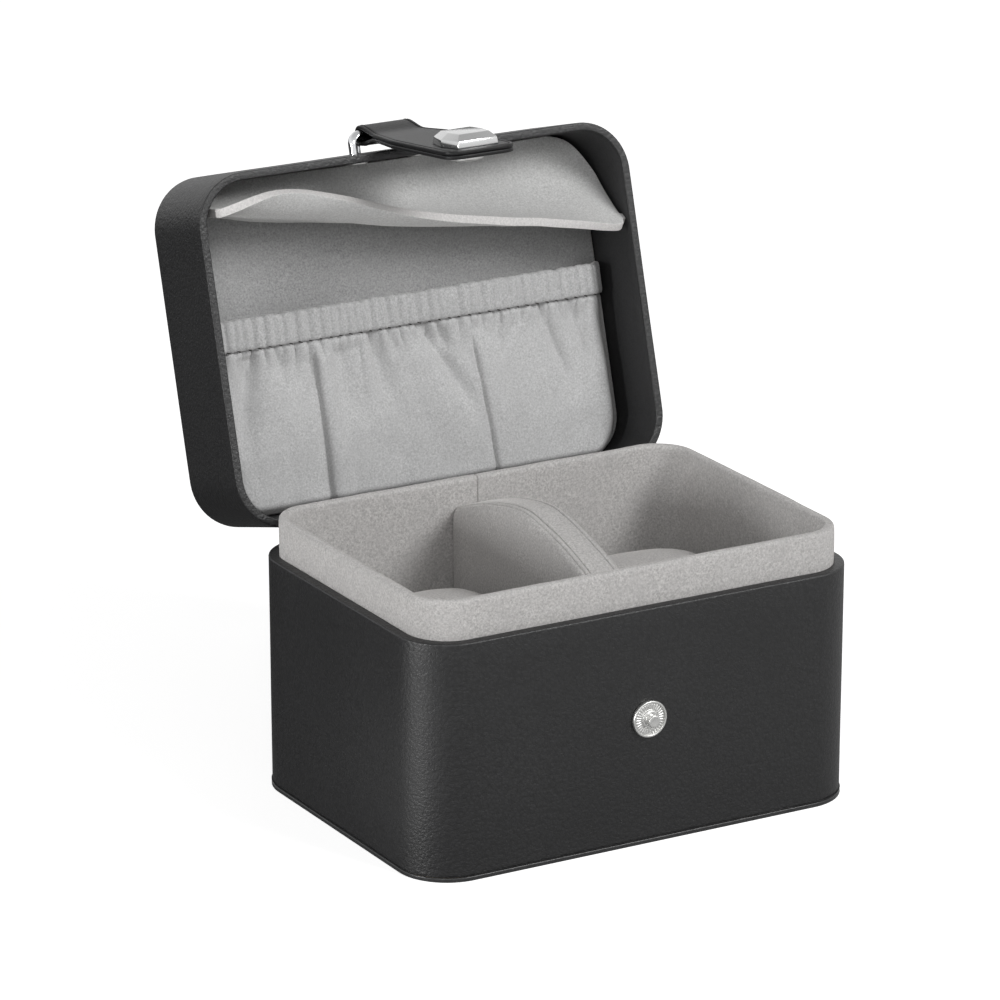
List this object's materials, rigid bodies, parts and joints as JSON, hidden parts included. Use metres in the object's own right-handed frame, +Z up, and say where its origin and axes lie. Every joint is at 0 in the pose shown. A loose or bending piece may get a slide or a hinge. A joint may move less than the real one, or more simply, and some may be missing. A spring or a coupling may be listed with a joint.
{
  "type": "watch travel case",
  "caption": "Rounded box with a hinged lid, snap strap, velvet collar, watch cushions, a padded divider and an elastic lid pocket with a flap, lid open.",
  "frame": {"origin": "centre of the base's underside", "axes": "+Z up, -Y towards the front, where the stud and the strap are, +X to the right seen from the front"},
  "size_m": [0.125, 0.1469, 0.1609],
  "materials": {
    "leatherette": "black PU leatherette, fine pebble grain, satin",
    "strap_leather": "black PU leather strap, fine grain, satin",
    "velvet": "warm grey short-pile velvet, soft sheen",
    "greyboard": "dense greyboard, matt",
    "foam": "pale open-cell padding foam",
    "elastic": "flat woven elastic",
    "loop_chrome": "polished chrome wire",
    "clasp_metal": "polished nickel plate with bright bevels",
    "snap_metal": "satin nickel-plated snap fittings",
    "hinge_metal": "nickel-plated steel hinges"
  },
  "bodies": {
    "case": {"base_board": "greyboard", "base_wrap": "leatherette", "base_plate": "leatherette", "floor_pad": "velvet", "collar_board": "greyboard", "collar_velvet": "velvet", "stud_flange": "snap_metal", "stud_post": "snap_metal", "stud_washer": "snap_metal", "hinge_base_leaves": "hinge_metal", "hinge_base_rivets": "hinge_metal", "hinge_pins": "hinge_metal"},
    "lid": {"lid_board": "greyboard", "lid_wrap": "leatherette", "lid_wall_lining": "leatherette", "lid_foam": "foam", "lid_card_panel": "greyboard", "lid_velvet": "velvet", "pocket_panel": "velvet", "pocket_hem": "velvet", "pocket_elastic": "elastic", "flap_seam_tape": "velvet", "strap_loop": "loop_chrome", "strap_loop_washers": "snap_metal", "hinge_lid_leaves": "hinge_metal", "hinge_lid_rivets": "hinge_metal"},
    "flap": {"flap_sheet": "velvet"},
    "strap_root": {"strap_fold": "strap_leather"},
    "strap_end": {"strap_outer": "strap_leather", "strap_lining": "strap_leather", "clasp_plate": "clasp_metal", "clasp_rivet": "snap_metal", "snap_socket": "snap_metal", "snap_spring": "snap_metal"},
    "divider": {"divider_board": "greyboard", "divider_pad": "velvet"},
    "cushion_left": {"cushion_left_cover": "velvet", "cushion_left_core": "foam"},
    "cushion_right": {"cushion_right_cover": "velvet", "cushion_right_core": "foam"}
  },
  "joints": [
    {"name": "lid_hinge", "type": "hinge", "parent": "case", "child": "lid", "pos_m": [0, 0.0472, 0.0612], "axis": [-1, 0, 0], "range_deg": [-106, 0]},
    {"name": "strap_swing", "type": "hinge", "parent": "lid", "child": "strap_root", "pos_m": [0, 0.08734, 0.15039], "axis": [-1, 0, 0], "range_deg": [0, 110]},
    {"name": "strap_drape", "type": "hinge", "parent": "strap_root", "child": "strap_end", "pos_m": [0, 0.0705, 0.15276], "axis": [-1, 0, 0], "range_deg": [0, 13.85]},
    {"name": "flap_fold", "type": "hinge", "parent": "lid", "child": "flap", "pos_m": [0, 0.08953, 0.14134], "axis": [1, 0, 0], "range_deg": [0, 44]},
    {"name": "divider_lift", "type": "slide", "parent": "case", "child": "divider", "axis": [0, 0, 1], "range_m": [0, 0.07]},
    {"name": "cushion_left_lift", "type": "slide", "parent": "case", "child": "cushion_left", "axis": [0, 0, 1], "range_m": [0, 0.07]},
    {"name": "cushion_right_lift", "type": "slide", "parent": "case", "child": "cushion_right", "axis": [0, 0, 1], "range_m": [0, 0.07]}
  ],
  "couplings": [
    {"joint": "strap_drape", "follows": "lid_hinge", "ratio": -0.13059},
    {"joint": "flap_fold", "follows": "lid_hinge", "ratio": -0.415}
  ]
}
